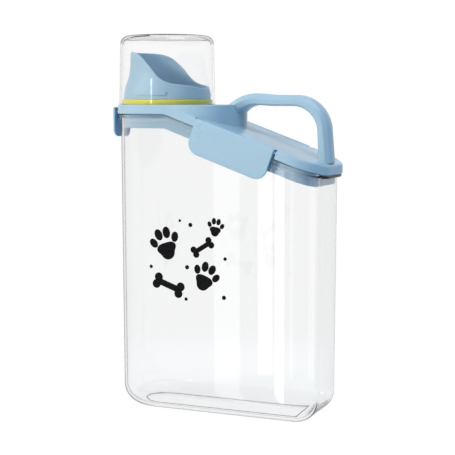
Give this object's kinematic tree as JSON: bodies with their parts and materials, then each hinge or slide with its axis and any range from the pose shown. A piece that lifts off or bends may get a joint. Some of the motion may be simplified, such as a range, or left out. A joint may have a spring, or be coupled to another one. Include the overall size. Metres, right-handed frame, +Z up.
{
  "type": "pet food storage container",
  "caption": "Tall clear food bin with one rounded end, a sloping lid with latches, an arched carrying handle, a pouring spout and a clear measuring cup that covers the spout.",
  "frame": {"origin": "bottom centre of the whole object's bounding box", "axes": "+Z up from the rest face, +X from the spout end to the low end, +Y from front to rear"},
  "size_m": [0.1852, 0.0824, 0.2964],
  "materials": {
    "clear_plastic": "clear gloss",
    "lid_plastic": "satin gloss",
    "spout_plastic": "satin gloss",
    "ring_rubber": "soft",
    "gasket_rubber": "soft translucent",
    "pin_plastic": "matte"
  },
  "bodies": {
    "container": {"container_body": "clear_plastic"},
    "lid": {"lid_cover": "lid_plastic", "carry_handle": "lid_plastic", "lid_gasket": "gasket_rubber", "pour_spout": "spout_plastic", "spout_seal_ring": "ring_rubber", "front_latch_pin": "pin_plastic", "rear_latch_pin": "pin_plastic", "end_latch_pin": "pin_plastic"},
    "cup": {"measuring_cup": "clear_plastic"},
    "front_flap": {"front_latch": "lid_plastic"},
    "rear_flap": {"rear_latch": "lid_plastic"},
    "end_flap": {"end_latch": "lid_plastic"}
  },
  "joints": [
    {"name": "lid_lift", "type": "slide", "parent": "container", "child": "lid", "axis": [0, 0, 1], "range_m": [0, 0.12]},
    {"name": "cup_lift", "type": "slide", "parent": "lid", "child": "cup", "axis": [0, 0, 1], "range_m": [0, 0.08]},
    {"name": "front_latch_hinge", "type": "hinge", "parent": "lid", "child": "front_flap", "pos_m": [0.02528, -0.0382, 0.21789], "axis": [-0.9409, 0, 0.3387], "range_deg": [0, 110]},
    {"name": "rear_latch_hinge", "type": "hinge", "parent": "lid", "child": "rear_flap", "pos_m": [0.02528, 0.0382, 0.21789], "axis": [0.9409, 0, -0.3387], "range_deg": [0, 110]},
    {"name": "end_latch_hinge", "type": "hinge", "parent": "lid", "child": "end_flap", "pos_m": [-0.09065, 0, 0.238], "axis": [0, 1, 0], "range_deg": [0, 110]}
  ]
}
